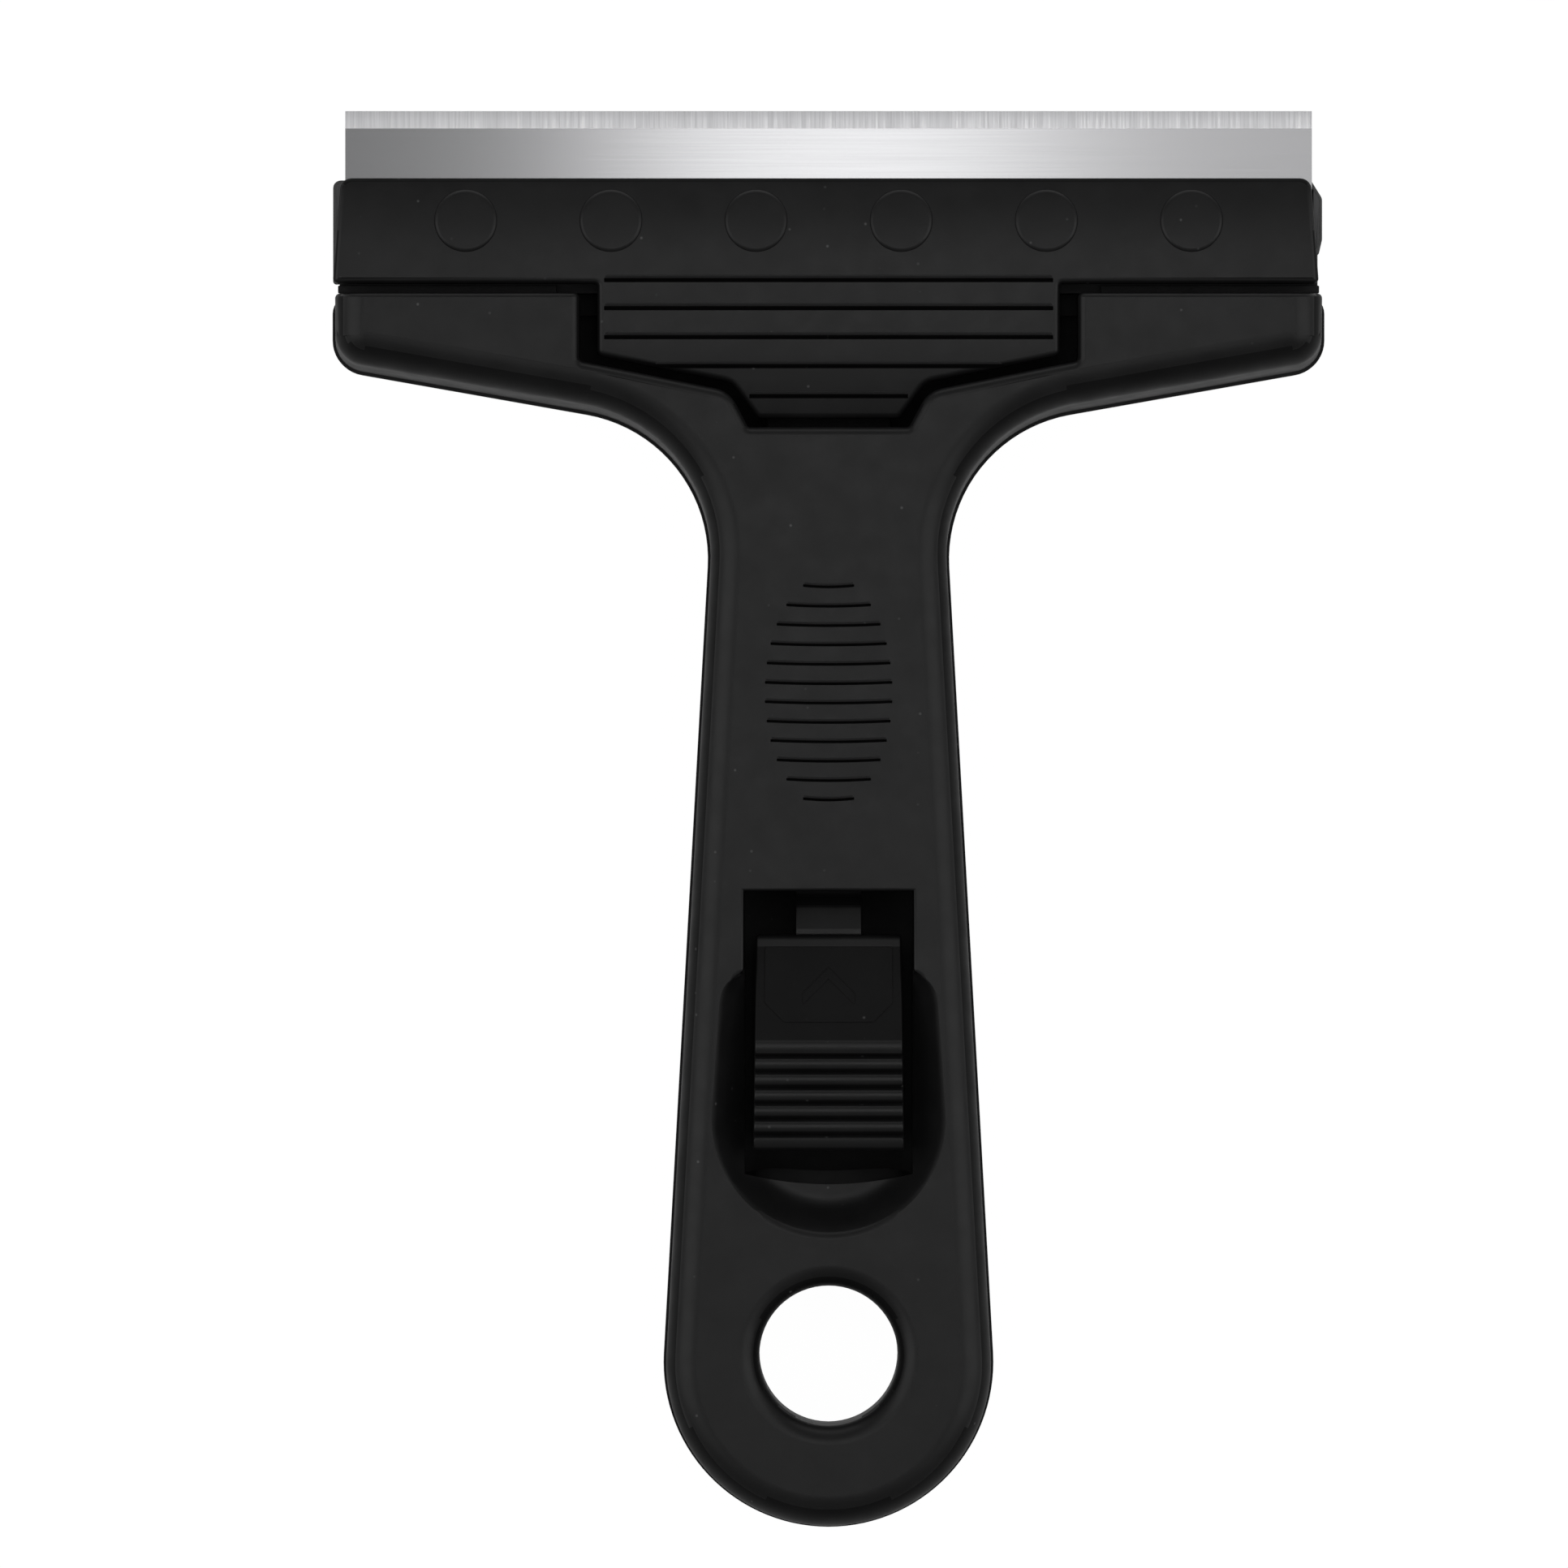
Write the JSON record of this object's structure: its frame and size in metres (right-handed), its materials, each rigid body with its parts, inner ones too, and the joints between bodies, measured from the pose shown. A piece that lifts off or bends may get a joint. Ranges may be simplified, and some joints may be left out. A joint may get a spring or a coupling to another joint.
{
  "type": "glass scraper",
  "caption": "T-shaped plastic hand scraper for glass: a wide thin blade clamped between two jaws, opened by pressing a thumb button on the grip.",
  "frame": {"origin": "middle of the outline on the rear face, so the scraper lies on its back on Z = 0", "axes": "+Y towards the cutting edge along the grip, +Z out of the front face with the button, +X to the right seen from the front"},
  "size_m": [0.1028, 0.1466, 0.0152],
  "materials": {
    "shell_plastic": "satin black moulded plastic",
    "jaw_plastic": "satin black moulded plastic",
    "button_plastic": "satin black moulded plastic",
    "pin_steel": "ground steel",
    "spring_steel": "drawn spring wire",
    "blade_steel": "satin strip steel with a ground edge",
    "screw_steel": "zinc-plated steel"
  },
  "bodies": {
    "handle": {"front_shell": "shell_plastic", "rear_shell": "shell_plastic", "pivot_pin": "pin_steel", "return_spring": "spring_steel", "shell_screws": "screw_steel"},
    "clamp_lever": {"clamp_jaw": "jaw_plastic", "lever_arm": "jaw_plastic", "press_button": "button_plastic"},
    "blade": {"scraper_blade": "blade_steel"}
  },
  "joints": [
    {"name": "lever_press", "type": "hinge", "parent": "handle", "child": "clamp_lever", "pos_m": [0, 0.0283, 0.0074], "axis": [1, 0, 0], "range_deg": [0, 3.8], "stiffness_Nm_per_rad": 3, "springref_deg": -3.44, "deforming": ["return_spring"]},
    {"name": "blade_pull", "type": "slide", "parent": "handle", "child": "blade", "axis": [0, 1, 0], "range_m": [0, 0.02]}
  ]
}
